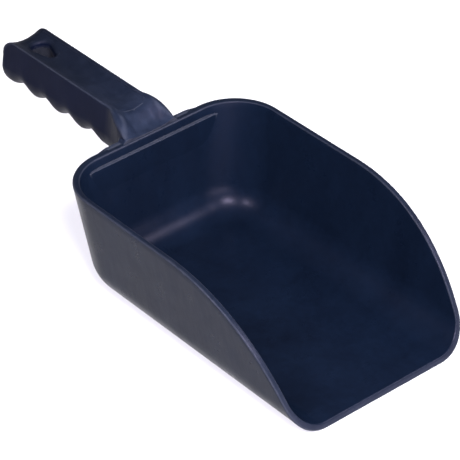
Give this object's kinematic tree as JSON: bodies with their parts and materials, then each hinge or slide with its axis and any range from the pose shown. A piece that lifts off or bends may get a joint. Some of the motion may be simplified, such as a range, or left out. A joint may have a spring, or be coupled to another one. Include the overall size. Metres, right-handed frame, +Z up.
{
  "type": "feed scoop",
  "caption": "Moulded plastic feed scoop with a deep round-cornered trough, a curved open mouth and a hollow hand grip with finger grooves and a hanging hole",
  "frame": {"origin": "On the level surface that the bowl's flat underside rests on, midway between the tail of the grip and the lip, on the centre line", "axes": "+X runs from the grip to the lip along the centre line, +Y is across to the scoop's left seen from the grip, +Z is up, out of the bowl"},
  "size_m": [0.3788, 0.169, 0.0986],
  "materials": {
    "bowl_plastic": "satin navy blue polypropylene with a fine moulded grain",
    "grip_plastic": "satin navy blue polypropylene, a little rougher on the palm",
    "sleeve_plastic": "smooth navy blue polypropylene"
  },
  "bodies": {
    "root": {"bowl": "bowl_plastic", "rear_doubler": "bowl_plastic", "handle_grip": "grip_plastic", "palm_cover": "grip_plastic", "hang_sleeve": "sleeve_plastic"}
  },
  "joints": []
}
